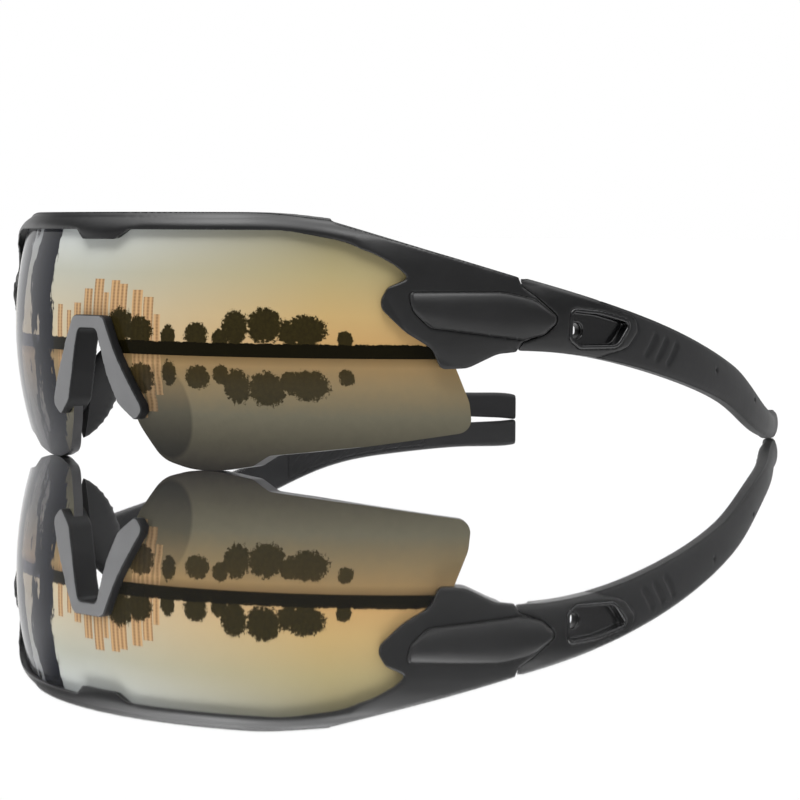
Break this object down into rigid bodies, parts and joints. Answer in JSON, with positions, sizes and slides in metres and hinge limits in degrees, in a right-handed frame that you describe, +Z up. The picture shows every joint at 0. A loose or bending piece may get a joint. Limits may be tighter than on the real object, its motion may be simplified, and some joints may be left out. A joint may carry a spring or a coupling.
{
  "type": "wraparound sport sunglasses",
  "caption": "Wraparound sport sunglasses with a mirrored shield lens, half frame, clip-on nose bridge and two folding temples with rubber sleeves.",
  "frame": {"origin": "centre of the footprint, on the surface the glasses stand on: the bottom of the lens lobes and the temple tips are at z = 0", "axes": "+Z up, -Y towards the front of the lens, +X towards the wearer's left"},
  "size_m": [0.1498, 0.1512, 0.0453],
  "materials": {
    "lens_mirror": "polished mirror coating on polycarbonate",
    "frame_nylon": "satin moulded nylon",
    "trim_nylon": "fine satin",
    "bridge_nylon": "matte grey",
    "vent_gloss": "gloss black",
    "sleeve_rubber": "soft matte overmould",
    "soft_rubber": "soft matte silicone",
    "steel": "machined",
    "brass": "machined"
  },
  "bodies": {
    "front": {"lens": "lens_mirror", "front_frame": "frame_nylon", "nose_bridge": "bridge_nylon", "left_nose_pad": "soft_rubber", "right_nose_pad": "soft_rubber", "left_pad_wire": "steel", "right_pad_wire": "steel", "left_side_trim": "trim_nylon", "right_side_trim": "trim_nylon", "left_hinge_screw": "steel", "right_hinge_screw": "steel", "left_hinge_insert": "brass", "right_hinge_insert": "brass"},
    "left_temple": {"left_temple_arm": "frame_nylon", "left_vent_liner": "vent_gloss", "left_temple_sleeve": "sleeve_rubber", "left_tip_grip": "soft_rubber", "left_hinge_bush": "steel"},
    "right_temple": {"right_temple_arm": "frame_nylon", "right_vent_liner": "vent_gloss", "right_temple_sleeve": "sleeve_rubber", "right_tip_grip": "soft_rubber", "right_hinge_bush": "steel"}
  },
  "joints": [
    {"name": "left_temple_fold", "type": "hinge", "parent": "front", "child": "left_temple", "pos_m": [0.0646, -0.0326, 0.028], "axis": [0, 0, 1], "range_deg": [0, 80]},
    {"name": "right_temple_fold", "type": "hinge", "parent": "front", "child": "right_temple", "pos_m": [-0.0646, -0.0326, 0.028], "axis": [0, 0, -1], "range_deg": [0, 70]}
  ]
}
